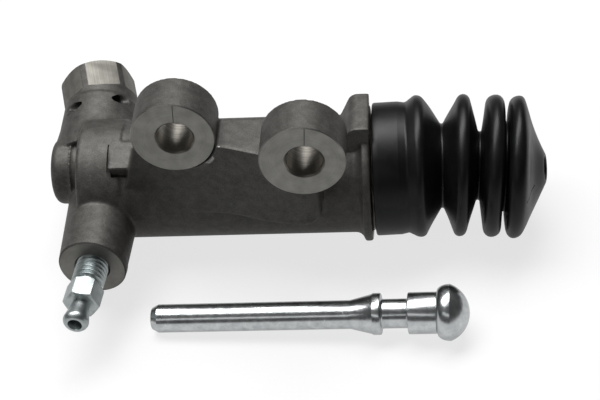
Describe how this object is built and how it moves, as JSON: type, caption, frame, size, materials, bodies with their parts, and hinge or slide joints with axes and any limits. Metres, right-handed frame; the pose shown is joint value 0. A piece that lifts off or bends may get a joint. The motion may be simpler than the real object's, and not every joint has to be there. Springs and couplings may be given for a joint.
{
  "type": "clutch slave cylinder",
  "caption": "Hydraulic clutch slave cylinder in cast aluminium with two bolt lugs, angled inlet, bleed screw, bellows dust boot and loose push rod.",
  "frame": {"origin": "on the bore's axis, in the plane of the flange's front face", "axes": "X runs along the bore from the casting to the dust boot, -Y is the way both bolt lugs face, Z runs from the bore up to the bolt holes"},
  "size_m": [0.1508, 0.0972, 0.0646],
  "materials": {
    "cast_aluminium": "matt gravity casting, grey-brown, with bare machined faces",
    "zinc_plated_steel": "turned steel with a bright zinc plating",
    "moulded_rubber": "matt black moulded rubber",
    "anodised_piston": "turned and hard anodised",
    "spring_steel": "oiled spring steel"
  },
  "bodies": {
    "housing": {"body_casting": "cast_aluminium", "dust_boot": "moulded_rubber", "push_rod": "zinc_plated_steel", "return_spring": "spring_steel", "stop_ring": "spring_steel"},
    "piston_set": {"piston": "anodised_piston", "primary_cup": "moulded_rubber", "secondary_cup": "moulded_rubber", "spring_seat": "zinc_plated_steel"},
    "bleeder": {"bleed_screw": "zinc_plated_steel"}
  },
  "joints": [
    {"name": "piston_slide", "type": "slide", "parent": "housing", "child": "piston_set", "axis": [1, 0, 0], "range_m": [-0.018, 0], "deforming": ["return_spring"]},
    {"name": "bleed_turn", "type": "hinge", "parent": "housing", "child": "bleeder", "pos_m": [-0.0809, -0.0337, -0.004], "axis": [-0.0732, -0.9973, 0], "range_deg": [0, 360]}
  ]
}
